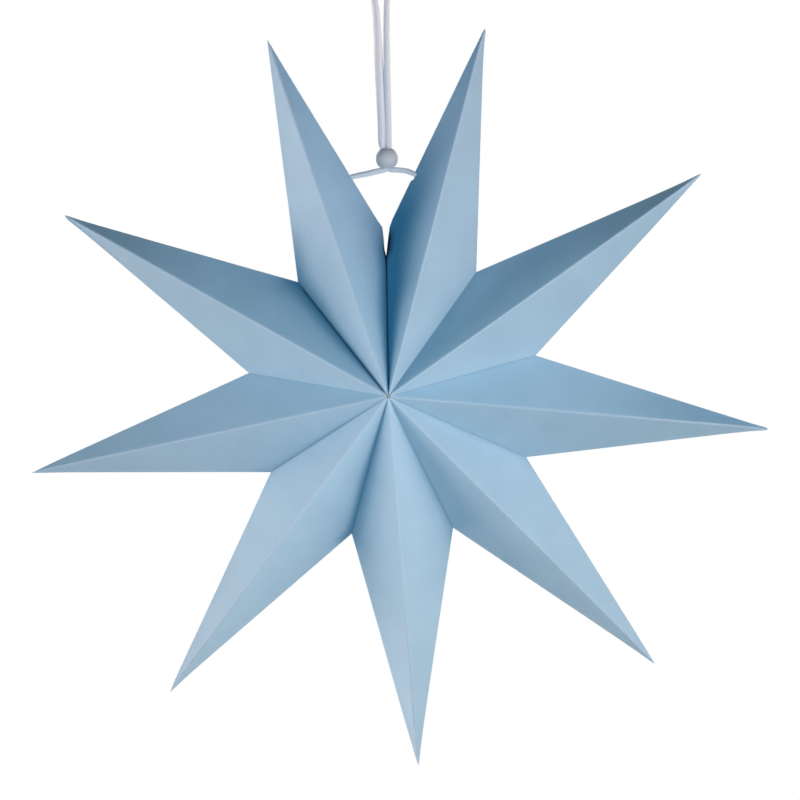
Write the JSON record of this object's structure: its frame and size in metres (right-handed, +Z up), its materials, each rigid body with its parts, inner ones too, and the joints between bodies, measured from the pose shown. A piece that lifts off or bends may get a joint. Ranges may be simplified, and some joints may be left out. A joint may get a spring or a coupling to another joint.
{
  "type": "folded paper star ornament",
  "caption": "Hollow folded paper star with long creased points round a front-to-back spine, hung by a twisted cord loop that is drawn together by a sliding bead.",
  "frame": {"origin": "inside top of the cord loop, where a hook or nail carries it", "axes": "+Z up along the cord, the star's front faces -Y, +X to the right seen from the front"},
  "size_m": [0.2963, 0.0516, 0.3199],
  "materials": {
    "paper": "matte pale blue card",
    "cord": "twisted pale cord",
    "bead": "matte grey-lilac"
  },
  "bodies": {
    "cord_loop": {"cord": "cord", "knot_left": "cord", "knot_right": "cord"},
    "bead": {"bead": "bead"},
    "point_1": {"point_1_left": "paper", "point_1_right": "paper"},
    "point_2": {"point_2_left": "paper", "point_2_right": "paper"},
    "point_3": {"point_3_left": "paper", "point_3_right": "paper"},
    "point_4": {"point_4_left": "paper", "point_4_right": "paper"},
    "point_5": {"point_5_left": "paper", "point_5_right": "paper"},
    "point_6": {"point_6_left": "paper", "point_6_right": "paper"},
    "point_7": {"point_7_left": "paper", "point_7_right": "paper"},
    "point_8": {"point_8_left": "paper", "point_8_right": "paper"},
    "point_9": {"point_9_left": "paper", "point_9_right": "paper"}
  },
  "joints": [
    {"name": "bead_slide", "type": "slide", "parent": "cord_loop", "child": "bead", "axis": [0, 0, 1], "range_m": [0, 0.028]},
    {"name": "point_1_fold", "type": "hinge", "parent": "cord_loop", "child": "point_1", "pos_m": [0, 0, -0.168], "axis": [0, 1, 0], "range_deg": [0, 8.3], "deforming": ["point_1_left", "point_1_right"]},
    {"name": "fold", "type": "hinge", "parent": "point_1", "child": "point_2", "pos_m": [0, 0, -0.168], "axis": [0, 1, 0], "range_deg": [0, 41.58], "deforming": ["point_2_left", "point_2_right"]},
    {"name": "point_3_fold", "type": "hinge", "parent": "point_2", "child": "point_3", "pos_m": [0, 0, -0.168], "axis": [0, 1, 0], "range_deg": [0, 40.09], "deforming": ["point_3_left", "point_3_right"]},
    {"name": "point_4_fold", "type": "hinge", "parent": "point_3", "child": "point_4", "pos_m": [0, 0, -0.168], "axis": [0, 1, 0], "range_deg": [0, 40.09], "deforming": ["point_4_left", "point_4_right"]},
    {"name": "point_5_fold", "type": "hinge", "parent": "point_4", "child": "point_5", "pos_m": [0, 0, -0.168], "axis": [0, 1, 0], "range_deg": [0, 40.09], "deforming": ["point_5_left", "point_5_right"]},
    {"name": "point_6_fold", "type": "hinge", "parent": "point_5", "child": "point_6", "pos_m": [0, 0, -0.168], "axis": [0, 1, 0], "range_deg": [0, 40.09], "deforming": ["point_6_left", "point_6_right"]},
    {"name": "point_7_fold", "type": "hinge", "parent": "point_6", "child": "point_7", "pos_m": [0, 0, -0.168], "axis": [0, 1, 0], "range_deg": [0, 40.09], "deforming": ["point_7_left", "point_7_right"]},
    {"name": "point_8_fold", "type": "hinge", "parent": "point_7", "child": "point_8", "pos_m": [0, 0, -0.168], "axis": [0, 1, 0], "range_deg": [0, 40.09], "deforming": ["point_8_left", "point_8_right"]},
    {"name": "point_9_fold", "type": "hinge", "parent": "point_8", "child": "point_9", "pos_m": [0, 0, -0.168], "axis": [0, 1, 0], "range_deg": [0, 40.09], "deforming": ["point_9_left", "point_9_right"]}
  ],
  "couplings": [
    {"joint": "point_1_fold", "follows": "fold", "ratio": 0.1996},
    {"joint": "point_3_fold", "follows": "fold", "ratio": 0.9641},
    {"joint": "point_4_fold", "follows": "fold", "ratio": 0.9641},
    {"joint": "point_5_fold", "follows": "fold", "ratio": 0.9641},
    {"joint": "point_6_fold", "follows": "fold", "ratio": 0.9641},
    {"joint": "point_7_fold", "follows": "fold", "ratio": 0.9641},
    {"joint": "point_8_fold", "follows": "fold", "ratio": 0.9641},
    {"joint": "point_9_fold", "follows": "fold", "ratio": 0.9641}
  ]
}
